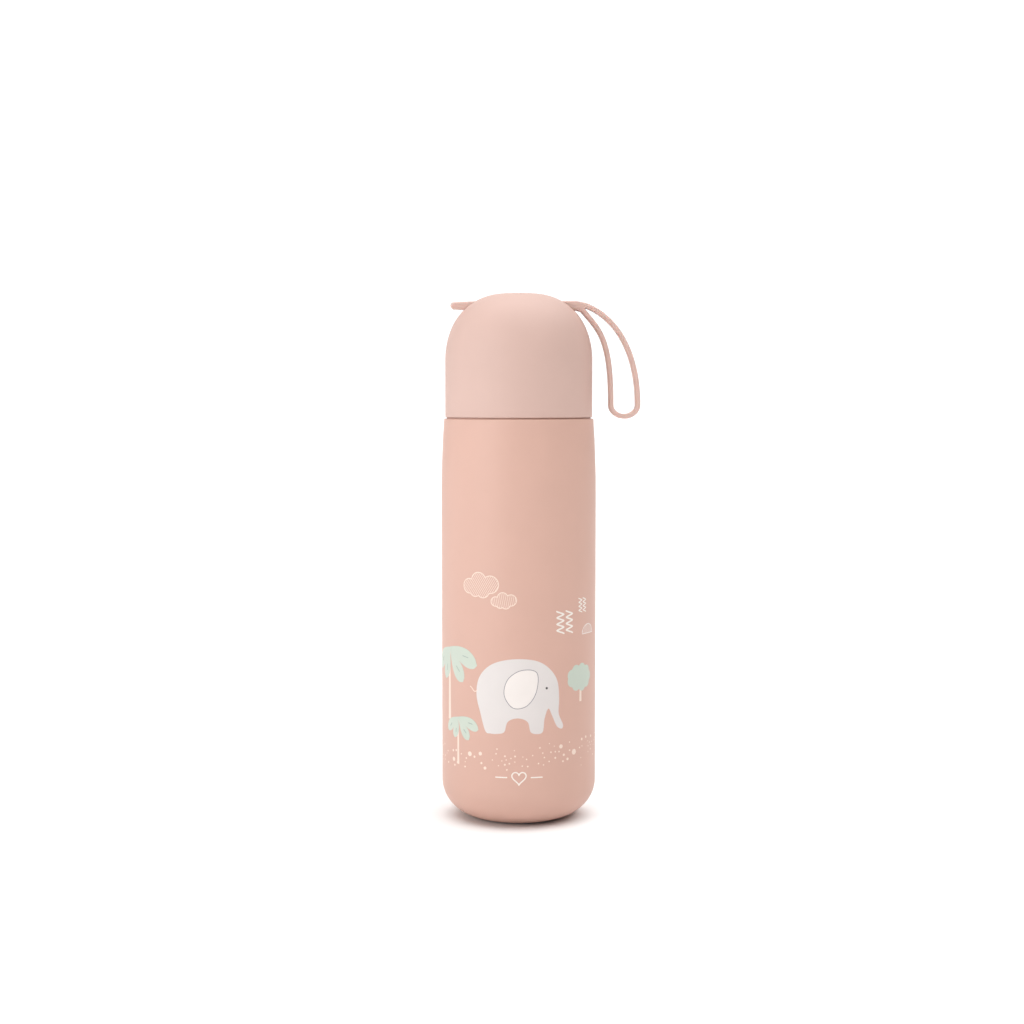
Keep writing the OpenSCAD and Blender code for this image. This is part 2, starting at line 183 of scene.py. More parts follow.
def inside(point, loops):
    """Whether closed loops run round a point. A hole runs the other way round from the loop about it."""
    x, y = point
    turns = 0
    for loop in loops:
        for (x1, y1), (x2, y2) in zip(loop, loop[1:] + loop[:1]):
            if (y1 > y) != (y2 > y) and x < (x2 - x1) * (y - y1) / (y2 - y1) + x1:
                turns += 1 if y2 > y1 else -1
    return turns != 0


def divided(loop, longest):
    """A closed loop with points added so that no side is longer than a limit."""
    points = []
    for a, b in zip(loop, loop[1:] + loop[:1]):
        count = max(1, math.ceil(math.dist(a, b) / longest))
        points += [(a[0] + (b[0] - a[0]) * i / count, a[1] + (b[1] - a[1]) * i / count) for i in range(count)]
    return points


def fill(loops):
    """Triangles that fill closed loops, with points inside so that the filled sheet can bend."""
    points, edges = [], []
    for loop in loops:
        start = len(points)
        points += [Vector(p) for p in loop]
        edges += [(start + i, start + (i + 1) % len(loop)) for i in range(len(loop))]
    xs = [p[0] for p in points]
    ys = [p[1] for p in points]
    columns = int((max(xs) - min(xs)) / GRID)
    rows = int((max(ys) - min(ys)) / GRID)
    for i in range(1, columns + 1):
        for j in range(1, rows + 1):
            p = (min(xs) + i * GRID, min(ys) + j * GRID)
            if inside(p, loops) and min(math.dist(p, q) for q in points[:len(xs)]) > GRID * 0.4:
                points.append(Vector(p))
    verts, _, faces, *_ = delaunay_2d_cdt(points, edges, [], 0, 1e-5)
    kept = []
    for face in faces:
        a, b, c = (verts[i] for i in face)
        size = (b - a).cross(c - a) / 2
        if abs(size) > SLIVER and inside((a + b + c) / 3, loops):
            kept.append(tuple(face))
    return [tuple(v) for v in verts], kept


# ---- Meshes ----

def finish_mesh(obj, material, sharp=35.0, weld=0.0):
    """Welded points if asked, outward normals, smooth shading with crisp edges, and the material."""
    mesh = obj.data
    work = bmesh.new()
    work.from_mesh(mesh)
    if weld:
        bmesh.ops.remove_doubles(work, verts=work.verts, dist=weld * MM)
    bmesh.ops.recalc_face_normals(work, faces=work.faces)
    work.to_mesh(mesh)
    work.free()
    mesh.shade_smooth()
    mesh.set_sharp_from_angle(angle=math.radians(sharp))
    mesh.materials.clear()
    mesh.materials.append(material)
    return obj


def new_object(name, verts, faces):
    mesh = bpy.data.meshes.new(name)
    mesh.from_pydata(verts, [], faces)
    mesh.update()
    obj = bpy.data.objects.new(name, mesh)
    bpy.context.scene.collection.objects.link(obj)
    return obj


def lathe(name, outline, material, segments=SEGMENTS):
    """A solid of revolution from a closed outline of (radius, height) points in millimetres."""
    verts, faces, rings = [], [], []
    for r, z in outline:
        if r < 1e-6:
            rings.append([len(verts)] * segments)
            verts.append((0, 0, z * MM))
            continue
        rings.append(list(range(len(verts), len(verts) + segments)))
        for j in range(segments):
            a = math.tau * j / segments
            verts.append((r * math.cos(a) * MM, r * math.sin(a) * MM, z * MM))
    for i, ring in enumerate(rings):
        after = rings[(i + 1) % len(rings)]
        for j in range(segments):
            k = (j + 1) % segments
            corners = list(dict.fromkeys((ring[j], ring[k], after[k], after[j])))
            if len(corners) > 2:
                faces.append(corners)
    return finish_mesh(new_object(name, verts, faces), material)


def ride(obj, body, slot, *nodes):
    """Fixes a piece to a body and hides the CAD nodes that it stands for. The slot argument is not used."""
    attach(obj, body)
    if nodes:
        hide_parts(*nodes)
    return obj


# ---- Materials ----

def srgb(r, g, b):
    """A linear colour from sRGB values, 0 to 255."""
    def linear(c):
        c /= 255
        return c / 12.92 if c <= 0.04045 else ((c + 0.055) / 1.055) ** 2.4
    return linear(r), linear(g), linear(b), 1.0


class Nodes:
    """A material's node tree, with short calls for the nodes used here."""

    def __init__(self, name):
        self.material = bpy.data.materials.new(name)
        self.material.use_nodes = True
        self.tree = self.material.node_tree
        self.shader = self.tree.nodes["Principled BSDF"]
        self.position = self.tree.nodes.new("ShaderNodeTexCoord").outputs["Object"]

    def link(self, source, target):
        self.tree.links.new(source, target)

    def noise(self, scale, detail=2.0, stretch=(1, 1, 1)):
        mapping = self.tree.nodes.new("ShaderNodeMapping")
        mapping.inputs["Scale"].default_value = stretch
        self.link(self.position, mapping.inputs["Vector"])
        node = self.tree.nodes.new("ShaderNodeTexNoise")
        node.inputs["Scale"].default_value = scale
        node.inputs["Detail"].default_value = detail
        self.link(mapping.outputs["Vector"], node.inputs["Vector"])
        return node.outputs["Fac"]

    def ramp(self, factor, low, high, start=0.3, end=0.7):
        node = self.tree.nodes.new("ShaderNodeValToRGB")
        node.color_ramp.elements[0].position = start
        node.color_ramp.elements[1].position = end
        node.color_ramp.elements[0].color = low
        node.color_ramp.elements[1].color = high
        self.link(factor, node.inputs["Fac"])
        return node.outputs["Color"]

    def spread(self, factor, low, high):
        node = self.tree.nodes.new("ShaderNodeMapRange")
        node.inputs["To Min"].default_value = low
        node.inputs["To Max"].default_value = high
        self.link(factor, node.inputs["Value"])
        return node.outputs["Result"]

    def bump(self, height, depth, strength=1.0, under=None):
        node = self.tree.nodes.new("ShaderNodeBump")
        node.inputs["Distance"].default_value = depth * MM
        node.inputs["Strength"].default_value = strength
        self.link(height, node.inputs["Height"])
        if under:
            self.link(under, node.inputs["Normal"])
        return node.outputs["Normal"]

    def set(self, **values):
        for name, value in values.items():
            self.shader.inputs[name.replace("_", " ")].default_value = value

    def drive(self, **sockets):
        for name, socket in sockets.items():
            self.link(socket, self.shader.inputs[name.replace("_", " ")])


def shade(colour, factor):
    return tuple(c * factor for c in colour[:3]) + (1.0,)


def coated(name, colour, roughness, grain, depth, mottle=0.012):
    """Paint, ink or moulded plastic: a fine surface grain with slight mottling of colour and gloss."""
    n = Nodes(name)
    broad = n.noise(60, 3.0)
    fine = n.noise(1000 / grain, 2.0)
    n.drive(
        Base_Color=n.ramp(broad, shade(colour, 1 - mottle), shade(colour, 1 + mottle)),
        Roughness=n.spread(fine, roughness - 0.03, roughness + 0.03),
        Normal=n.bump(fine, depth),
    )
    return n


def body_paint():
    n = coated("body_paint", srgb(211, 171, 156), 0.46, 0.35, 0.004)
    n.set(Specular_IOR_Level=0.3)
    return n.material


def cup_paint():
    n = coated("cup_paint", srgb(208, 176, 165), 0.55, 0.30, 0.005)
    n.set(Specular_IOR_Level=0.35)
    return n.material


def silicone(name, colour):
    n = coated(name, colour, 0.55, 0.5, 0.006, 0.02)
    n.set(Subsurface_Weight=0.12, Subsurface_Scale=0.002, Sheen_Weight=0.15, Sheen_Roughness=0.4)
    return n.material


def ink(name, colour):
    n = coated(name, colour, 0.5, 0.25, 0.003, 0.02)
    return n.material


def plastic(name, colour):
    n = coated(name, colour, 0.38, 0.4, 0.006, 0.01)
    n.set(Subsurface_Weight=0.08, Subsurface_Scale=0.0015)
    return n.material


def brushed(name, colour, roughness, stretch):
    """Metal with fine lines where one direction of the noise is stretched out."""
    n = Nodes(name)
    lines = n.noise(2200, 3.0, stretch)
    broad = n.noise(45, 3.0)
    n.drive(
        Base_Color=n.ramp(broad, shade(colour, 0.94), shade(colour, 1.04)),
        Roughness=n.spread(lines, roughness - 0.06, roughness + 0.08),
        Normal=n.bump(lines, 0.003),
    )
    n.set(Metallic=1.0)
    return n.material


def turned(name, colour, roughness):
    """Metal brushed in circles about the bottle's axis."""
    n = Nodes(name)
    split = n.tree.nodes.new("ShaderNodeSeparateXYZ")
    n.link(n.position, split.inputs["Vector"])
    flat = n.tree.nodes.new("ShaderNodeCombineXYZ")
    n.link(split.outputs["X"], flat.inputs["X"])
    n.link(split.outputs["Y"], flat.inputs["Y"])
    length = n.tree.nodes.new("ShaderNodeVectorMath")
    length.operation = "LENGTH"
    n.link(flat.outputs["Vector"], length.inputs[0])
    rings = n.tree.nodes.new("ShaderNodeTexNoise")
    rings.noise_dimensions = "1D"
    rings.inputs["Scale"].default_value = 6000
    rings.inputs["Detail"].default_value = 3
    n.link(length.outputs["Value"], rings.inputs["W"])
    broad = n.noise(60, 3.0)
    n.drive(
        Base_Color=n.ramp(broad, shade(colour, 0.94), shade(colour, 1.04)),
        Roughness=n.spread(rings.outputs["Fac"], roughness - 0.06, roughness + 0.1),
        Normal=n.bump(rings.outputs["Fac"], 0.004),
    )
    n.set(Metallic=1.0)
    return n.material


# ---- Bottle body ----

def corner_arc(inset, steps):
    """The rounded corner of the base, from the hole in the base up to the straight side."""
    start = math.degrees(math.acos((BASE_HOLE_R - FOOT_R) / (CORNER_W - inset)))
    return arc((FOOT_R, CORNER_H), CORNER_W - inset, CORNER_H - inset, -start, 0, steps)


def side(inset, steps):
    """The straight side and the stretch under the seam where it draws in."""
    points = []
    for i in range(steps + 1):
        s = i / steps
        points.append((BODY_R - inset - TAPER * s * s, SEAM_Z - TAPER_H + s * (TAPER_H - LIP_DROP - inset)))
    return points


LEDGE_R = CUP_R - GROOVE_DEPTH
LEDGE_Z = CUP_RIM - LEDGE_GAP
SHOULDER = SEAM_Z - SEAM_GAP / 2


def body_outline():
    """The painted wall: the base corner, the side, the lip at the seam and the ledge under the cup."""
    edge = 0.15
    lip = arc((BODY_R - TAPER - LIP_ROUND, SHOULDER - LIP_ROUND), LIP_ROUND, LIP_ROUND, 10, 90, 8)
    step = [(LEDGE_R + edge, SHOULDER), (LEDGE_R, SHOULDER + edge), (LEDGE_R, LEDGE_Z - edge),
            (LEDGE_R - edge, LEDGE_Z), (NECK_R + NECK_FOOT, LEDGE_Z)]
    under = [(LEDGE_R - OUTER_WALL, LEDGE_Z - OUTER_WALL), (NECK_R + NECK_FOOT, LEDGE_Z - OUTER_WALL)]
    outside = corner_arc(0, 48) + side(0, 36) + lip + step
    inside = corner_arc(OUTER_WALL, 16) + side(OUTER_WALL, 8) + under
    return outside + inside[::-1]


def neck_outline():
    """The bare steel neck, from the painted ledge up to the lip."""
    centre = (NECK_R + NECK_FOOT, LEDGE_Z + NECK_FOOT)
    outside = arc(centre, NECK_FOOT, NECK_FOOT, 270, 180, 10) + [(NECK_R, NECK_TOP)]
    grown = NECK_FOOT + OUTER_WALL
    inside = arc(centre, grown, grown, 270, 180, 10) + [(NECK_R - OUTER_WALL, NECK_TOP)]
    return outside + inside[::-1]


# ---- Cup ----

def dome(inset, side_steps, crown_steps):
    """The cup's dome, from its straight wall to the axis: a side arc, then a tighter crown arc."""
    start_z = SEAM_Z + CUP_STRAIGHT
    turn = math.radians(DOME_TURN)
    crown_r = (CUP_TOP - start_z - DOME_SIDE_R * math.sin(turn)) / (1 - math.sin(turn))
    centre = (CUP_R - DOME_SIDE_R + (DOME_SIDE_R - crown_r) * math.cos(turn),
              start_z + (DOME_SIDE_R - crown_r) * math.sin(turn))
    points = arc((CUP_R - DOME_SIDE_R, start_z), DOME_SIDE_R - inset, DOME_SIDE_R - inset,
                 0, DOME_TURN, side_steps)
    points += arc(centre, crown_r - inset, crown_r - inset, DOME_TURN, 90, crown_steps)[1:]
    points += [(r * centre[0], CUP_TOP - inset) for r in (0.75, 0.5, 0.25, 0)]
    return points


def cup_outline():
    """The cup's wall: the rim, the straight side and the dome, outside and inside."""
    edge = 0.3
    rim = arc((CUP_R - edge, CUP_RIM + edge), edge, edge, -90, 0, 6)
    straight = [(CUP_R, CUP_RIM + edge + (SEAM_Z + CUP_STRAIGHT - CUP_RIM - edge) * i / 10)
                for i in range(1, 10)]
    return ([(CUP_R - CUP_WALL, CUP_RIM)] + rim + straight + dome(0, 36, 72)
            + dome(CUP_WALL, 16, 24)[::-1])


def rounded_bar(name, length, width, height, radius):
    """A bar along X with round corners, used to cut the strap's tunnel."""
    section = []
    for cy, cz, start in ((1, 1, 0), (-1, 1, 90), (-1, -1, 180), (1, -1, 270)):
        centre = (cy * (width / 2 - radius), cz * (height / 2 - radius))
        section += arc(centre, radius, radius, start, start + 90, 6)
    verts, faces = [], []
    count = len(section)
    for x in (-length / 2, length / 2):
        verts += [(x * MM, y * MM, (STRAP_Z + z) * MM) for y, z in section]
    for j in range(count):
        k = (j + 1) % count
        faces.append((j, k, count + k, count + j))
    faces += [tuple(range(count))[::-1], tuple(range(count, 2 * count))]
    return new_object(name, verts, faces)


def cut_with(obj, cutter):
    """Subtracts cutter from obj, for good."""
    modifier = obj.modifiers.new("cut", "BOOLEAN")
    modifier.object = cutter
    modifier.solver = "EXACT"
    bpy.context.view_layer.update()
    evaluated = obj.evaluated_get(bpy.context.evaluated_depsgraph_get())
    mesh = bpy.data.meshes.new_from_object(evaluated)
    obj.modifiers.clear()
    obj.data = mesh
    bpy.data.objects.remove(cutter)


def cup_dome(material):
    obj = lathe("cup_dome", cup_outline(), material)
    width, height = (size + 2 * TUNNEL_GAP for size in (STRAP_W, STRAP_H))
    cut_with(obj, rounded_bar("tunnel", 2.4 * CUP_R, width, height, TUNNEL_CORNER))
    return finish_mesh(obj, material)


# ---- Button spring ----

SPRING_WIRE_R = 0.45
SPRING_TURNS = 6


def spring_coil(material):
    """A round wire wound in a helix between the stopper's spider and the button."""
    coil_r = top("button_spring", 0) - SPRING_WIRE_R
    low = bottom("button_spring") + SPRING_WIRE_R
    high = top("button_spring") - SPRING_WIRE_R
    steps, sides = SPRING_TURNS * 36, 12
    verts, faces = [], []
    for i in range(steps + 1):
        turn = math.tau * SPRING_TURNS * i / steps
        for j in range(sides):
            round_wire = math.tau * j / sides
            r = coil_r + SPRING_WIRE_R * math.cos(round_wire)
            z = low + (high - low) * i / steps + SPRING_WIRE_R * math.sin(round_wire)
            verts.append((r * math.cos(turn) * MM, r * math.sin(turn) * MM, z * MM))
    for i in range(steps):
        for j in range(sides):
            a, b = i * sides + j, i * sides + (j + 1) % sides
            faces.append((a, b, b + sides, a + sides))
    faces += [tuple(range(sides))[::-1], tuple(range(steps * sides, (steps + 1) * sides))]
    obj = finish_mesh(new_object("spring_coil", verts, faces), material)
    ride(obj, "stopper", "steel", "button_spring")
    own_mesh(obj)


# ---- Strap ----

STRAND_T = 2.2
LOOP_LOW = 45.2
LOOP_END_H = 5.2
IN_X = top("strap_loop", 0) - STRAND_T / 2 - 12.3
OUT_X = top("strap_loop", 0) - STRAND_T / 2
TAIL_T = 3.1
TAIL_END_X = -18.0
STRAP_EDGE = 0.85
BAND_STEP = 0.7


def strap_outlines():
    """The strap's outer edge and the edge of the loop's hole, in the XZ plane about STRAP_Z."""
    half, strand = STRAP_H / 2, STRAND_T / 2
    inner = bezier([(HINGE_X + 0.5, -0.8), (IN_X - 5.8, -10.8), (IN_X, -13.6), (IN_X, -LOOP_LOW)], 48)
    outer = bezier([(HINGE_X + 0.5, 0.9), (OUT_X - 10.6, -3.5), (OUT_X, -20.4), (OUT_X, -LOOP_LOW)], 48)
    middle, reach = (IN_X + OUT_X) / 2, (OUT_X - IN_X) / 2
    far_edge = offset(outer, strand)
    near_edge = offset(inner, -strand)
    outer_end = arc((middle, -LOOP_LOW), reach + strand, LOOP_END_H + strand, 0, -180, 40)
    tail = arc((TAIL_X + TAIL_T / 2, 0), TAIL_T / 2, TAIL_T / 2, 270, 90, 16)
    shank_x = HINGE_X - 1.2
    upper = [(TAIL_END_X, half), (shank_x, half)]
    edge = (tail + upper + far_edge[2:] + outer_end[1:-1] + near_edge[2:][::-1]
            + [(x, -z) for x, z in upper[::-1]])
    gap = 0.75
    inside_out = offset(outer, -strand)
    inside_in = offset(inner, strand)
    pairs = [i for i in range(len(outer))
             if math.dist(inside_out[i], inside_in[i]) > gap and inside_out[i][0] > inside_in[i][0]]
    first = pairs[0]
    hole_end = arc((middle, -LOOP_LOW), reach - strand, LOOP_END_H - strand, 0, -180, 32)
    a, b = inside_in[first], inside_out[first]
    tip = ((a[0] + b[0]) / 2 - 0.45, (a[1] + b[1]) / 2 + 0.35)
    hole = inside_out[first:] + hole_end[1:-1] + inside_in[first:][::-1] + [tip]
    return edge, hole


def anticlockwise(loop):
    """The closed loop, turned round if it runs clockwise."""
    double_area = sum(x1 * y2 - x2 * y1 for (x1, y1), (x2, y2) in zip(loop, loop[1:] + loop[:1]))
    return loop if double_area > 0 else loop[::-1]


def moulded_band(name, edge, hole, width, bevel, material):
    """A band from its edge and its hole in the XZ plane, with a width along Y and rounded edges."""
    loops = [divided(anticlockwise(edge), BAND_STEP), divided(anticlockwise(hole)[::-1], BAND_STEP)]
    flat = width / 2 - bevel
    quarter = [math.radians(90 * i / 4) for i in range(5)]
    rings = [(flat + bevel * math.sin(t), bevel * (1 - math.cos(t))) for t in quarter]
    rings = [(-y, inset) for y, inset in rings[::-1]] + rings
    verts, faces = [], []
    for loop in loops:
        start, count = len(verts), len(loop)
        for y, inset in rings:
            verts += [(x, y, z) for x, z in offset(loop, inset, True)]
        for i in range(len(rings) - 1):
            for j in range(count):
                a, b = start + i * count + j, start + i * count + (j + 1) % count
                faces.append((a, b, b + count, a + count))
    points, triangles = fill([offset(loop, bevel, True) for loop in loops])
    for y in (-width / 2, width / 2):
        start = len(verts)
        verts += [(x, y, z) for x, z in points]
        faces += [tuple(start + i for i in t) for t in triangles]
    obj = new_object(name, [(x * MM, y * MM, (z + STRAP_Z) * MM) for x, y, z in verts], faces)
    return finish_mesh(obj, material, 50, weld=0.001)


# ---- Print: thin closed films wrapped round the body ----

FILM = 0.03


def film(name, shapes, material, layer=0):
    """A printed motif: each shape is a list of closed loops in (distance round the body, height)."""
    verts, faces = [], []
    for loops in shapes:
        flat, triangles = fill([divided(loop, GRID * 0.7) for loop in loops])
        used = sorted({i for t in triangles for i in t})
        index = {old: i for i, old in enumerate(used)}
        start = len(verts)
        for radius in (BODY_R + FILM * (1 + layer), BODY_R - FILM):
            for i in used:
                u, z = flat[i]
                a = u / BODY_R
                verts.append((radius * math.sin(a) * MM, -radius * math.cos(a) * MM, z * MM))
        under = start + len(used)
        sides = {}
        for t in triangles:
            t = [index[i] for i in t]
            faces.append([start + i for i in t])
            faces.append([under + i for i in t[::-1]])
            for i, j in zip(t, t[1:] + t[:1]):
                if (j, i) in sides:
                    del sides[(j, i)]
                else:
                    sides[(i, j)] = True
        for i, j in sides:
            faces.append([start + j, start + i, under + i, under + j])
    obj = finish_mesh(new_object(name, verts, faces), material)
    return ride(obj, "bottle", "body_paint")


def placed(loops, degrees, z, turn=0.0, size=1.0):
    """Loops moved to an angle round the body and a height."""
    c, s = math.cos(math.radians(turn)) * size, math.sin(math.radians(turn)) * size
    u = math.radians(degrees) * BODY_R
    return [[(u + x * c - y * s, z + x * s + y * c) for x, y in loop] for loop in loops]


def stroke(points, width, closed=False):
    """A drawn line with round ends, as closed loops."""
    if closed:
        return [offset(points, width / 2, True), offset(points, -width / 2, True)[::-1]]
    left, right = offset(points, width / 2), offset(points, -width / 2)
    ends = []
    for i in (len(points) - 1, 0):
        nx, ny = side_normal(points, i)
        angle = math.degrees(math.atan2(ny, nx)) + (0 if i else 180)
        ends.append(arc(points[i], width / 2, width / 2, angle, angle - 180, 5)[1:-1])
    return [left + ends[0] + right[::-1] + ends[1]]


def circle(x, y, r, steps=14):
    return arc((x, y), r, r, 0, 360 * (1 - 1 / steps), steps - 1)


def puffs(circles, steps=96):
    """A cloud-like outline: the outer edge of round puffs, given as (x, y, radius) about the origin."""
    outline = []
    for i in range(steps):
        t = math.tau * i / steps
        dx, dy = math.cos(t), math.sin(t)
        reach = 0
        for x, y, r in circles:
            along, aside = x * dx + y * dy, x * dy - y * dx
            if abs(aside) < r:
                reach = max(reach, along + math.sqrt(r * r - aside * aside))
        outline.append((reach * dx, reach * dy))
    return outline


def ring_of_puffs(a, b, count, r):
    """Round puffs set evenly along an ellipse, and one in the middle."""
    puff = [(a * math.cos(math.tau * i / count), b * math.sin(math.tau * i / count), r) for i in range(count)]
    return puff + [(0, 0, min(a, b))]


def hatching(loop, spacing, width, turn):
    """Parallel lines that fill a closed outline."""
    c, s = math.cos(math.radians(turn)), math.sin(math.radians(turn))
    turned_loop = [(x * c + y * s, -x * s + y * c) for x, y in loop]
    lines = []
    y = min(p[1] for p in turned_loop) + spacing / 2
    while y < max(p[1] for p in turned_loop):
        xs = []
        for (x1, y1), (x2, y2) in zip(turned_loop, turned_loop[1:] + turned_loop[:1]):
            if (y1 > y) != (y2 > y):
                xs.append(x1 + (y - y1) * (x2 - x1) / (y2 - y1))
        xs.sort()
        for x1, x2 in zip(xs[::2], xs[1::2]):
            if x2 - x1 > 3 * width:
                ends = [(x1 + width, y), (x2 - width, y)]
                lines.append(stroke([(x * c - v * s, x * s + v * c) for x, v in ends], width))
        y += spacing
    return lines


def leaf(length, width, angle, droop=0.0):
    """A rounded palm leaf from the origin outwards, with a droop at its tip, and a dash on it."""
    steps = 16
    upper, lower = [], []
    for i in range(1, steps):
        t = 1 - math.cos(math.pi / 2 * i / steps) if i < 2 else i / steps
        half = width / 2 * math.sin(math.pi * t ** 1.7) ** 0.55
        bend = -droop * t * t
        upper.append((length * t, bend + half))
        lower.append((length * t, bend - half))
    outline = [(0, 0)] + lower + [(length, -droop)] + upper[::-1]
    dash = stroke([(length * 0.55, -droop * 0.3), (length * 0.72, -droop * 0.5 + width * 0.08)], 0.28)
    c, s = math.cos(math.radians(angle)), math.sin(math.radians(angle))
    return [[(x * c - y * s, x * s + y * c) for x, y in loop] for loop in [outline] + dash]


def zigzag(teeth, width, height, steps=8, sharpness=0.97):
    """A zigzag going up, with slightly rounded corners. At a sharpness of 1 they would be points."""
    points = []
    for i in range(teeth * steps + 1):
        t = i / steps
        across = math.asin(sharpness * math.cos(math.pi * t)) / math.asin(sharpness)
        points.append((width / 2 * across, height * t / teeth))
    return points


MINT = srgb(196, 205, 192)
CREAM = srgb(235, 214, 200)
WHITE_INK = srgb(220, 213, 210)
PALE_INK = srgb(235, 227, 222)
BRIGHT_INK = srgb(238, 230, 222)
DARK_INK = srgb(74, 68, 70)
GREY_INK = srgb(150, 143, 149)
SAGE_INK = srgb(150, 166, 157)


def animal(inks, degrees, z):
    """A plain elephant shape, seen from the side."""
    body = closed_spline([
        (-15.5, 1.0), (-18, 9), (-20, 17), (-18.5, 25), (-12.5, 31), (-3, 33.6), (7, 33), (13.5, 29.5),
        (17.8, 23.5), (18.8, 15.5), (18.6, 8.6), (20.8, 3.6), (20.2, 1.6), (17.6, 3.0), (15.2, 8.0),
        (13.4, 11.2), (11.6, 6.8), (10.8, 1.0), (8.2, 0), (5.2, 1.0), (3.8, 5.6), (-0.6, 7.2),
        (-5.0, 5.6), (-6.6, 1.0), (-9.8, 0), (-13, 0)])
    ear = closed_spline([
        (8.0, 27.5), (1.0, 28.6), (-5.0, 24.5), (-6.6, 17.5), (-2.6, 11.8), (3.6, 12.8), (7.8, 19)])
    tail = bezier([(-19.6, 19), (-21.6, 17), (-22.0, 20), (-23.4, 20.4)], 12)
    eye = circle(12.6, 20.4, 0.55)
    film("print_animal", [placed([body], degrees, z)], inks["white"])
    film("print_ear", [placed([ear], degrees, z)], inks["pale"], 1)
    film("print_ear_line", [placed(stroke(ear, 0.3, True), degrees, z)], inks["grey"], 2)
    film("print_eye", [placed([eye], degrees, z)], inks["dark"], 1)
    film("print_tail", [placed(stroke(tail, 0.4), degrees, z)], inks["cream"])


def palm(name, inks, degrees, z, height, size):
    """A palm tree: a slim trunk and a fan of rounded leaves."""
    trunk = [(-0.8 * size, 0), (0.8 * size, 0), (0.4 * size, height), (-0.4 * size, height)]
    film(name + "_trunk", [placed([trunk], degrees, z)], inks["cream"])
    fan = ((212, 12.0, 5.2, -1.2), (-104, 11.0, 4.6, 0.3), (-52, 13.0, 5.0, 0.6), (-10, 14.0, 5.6, 2.4))
    for k, (angle, length, width, droop) in enumerate(fan):
        outline, dash = leaf(length * size, width * size, angle, droop * size)
        film(f"{name}_leaf_{k}", [placed([outline], degrees, z + height)], inks["mint"], 1 + 0.2 * k)
        film(f"{name}_dash_{k}", [placed([dash], degrees, z + height)], inks["sage"], 2 + 0.2 * k)


def cloud(name, inks, degrees, z, size, turn):
    outline = puffs([
        (-5.6, -0.6, 3.3), (-0.6, 2.0, 3.7), (5.2, 0.4, 3.9), (1.6, -2.4, 3.2), (-2.4, -2.2, 3.0)])
    outline = [(x * size, y * size) for x, y in outline]
    shapes = [stroke(outline, 0.4, True)] + hatching(outline, 0.85, 0.24, turn)
    film(name, [placed(s, degrees, z) for s in shapes], inks["cream"])


def tree(name, inks, degrees, z, size):
    crown = [(x * size, y * size) for x, y in puffs(ring_of_puffs(6.1, 3.7, 9, 2.7))]
    trunk = [(-0.8 * size, -11 * size), (0.8 * size, -11 * size), (0.6 * size, 0), (-0.6 * size, 0)]
    film(name + "_trunk", [placed([trunk], degrees, z)], inks["cream"])
    film(name, [placed([crown], degrees, z)], inks["mint"], 1)


def zigzags(name, inks, degrees, z, size):
    shapes = []
    for dx in (-2.5, 2.5):
        line = [(x * size + dx * size, y * size) for x, y in zigzag(7, 3.8, 10)]
        shapes.append(placed(stroke(line, 0.6 * size + 0.1), degrees, z))
    film(name, shapes, inks["bright"])


def hill(name, inks, degrees, z):
    """A small half-disc with upright lines in it."""
    half = arc((0, 0), 5, 4.2, 0, 180, 24)
    shapes = [stroke(half, 0.32, True)] + hatching(half, 1.1, 0.26, 90)
    film(name, [placed(s, degrees, z) for s in shapes], inks["pale"])


def dots(inks):
    """A loose band of dots all round the body, with the large ones in two drifts."""
    draw = random.Random(5)
    low, high, count, apart = 27, 41, 165, 1.0
    kept = []
    for _ in range(6000):
        u = draw.uniform(-math.pi, math.pi) * BODY_R
        z = 32.5 + 2.8 * math.sin(u / BODY_R) + draw.gauss(0, 3.0)
        drift = (0.5 + 0.5 * math.cos(4 * u / BODY_R + math.pi)) ** 2
        r = draw.uniform(0.25, 0.42) + draw.choice((0, 0, 0.15, 0.3, 0.9)) * drift
        if low < z < high and all(math.dist((u, z), q[:2]) > r + q[2] + apart for q in kept):
            kept.append((u, z, r))
        if len(kept) == count:
            break
    film("print_dots", [[circle(u, z, r)] for u, z, r in kept], inks["cream"])


def mark(inks):
    """A small plain heart between two short dashes."""
    heart, steps, scale, line = [], 40, 0.2, 0.55
    for i in range(steps):
        t = math.tau * i / steps
        x = 16 * math.sin(t) ** 3
        y = 13 * math.cos(t) - 5 * math.cos(2 * t) - 2 * math.cos(3 * t) - math.cos(4 * t)
        heart.append((scale * x, scale * y))
    dashes = [stroke([(x, 0), (x + 5, 0)], line) for x in (-10.5, 5.5)]
    shapes = [stroke(heart, line, True)] + dashes
    film("print_mark", [placed(s, 0, 24.5) for s in shapes], inks["bright"])


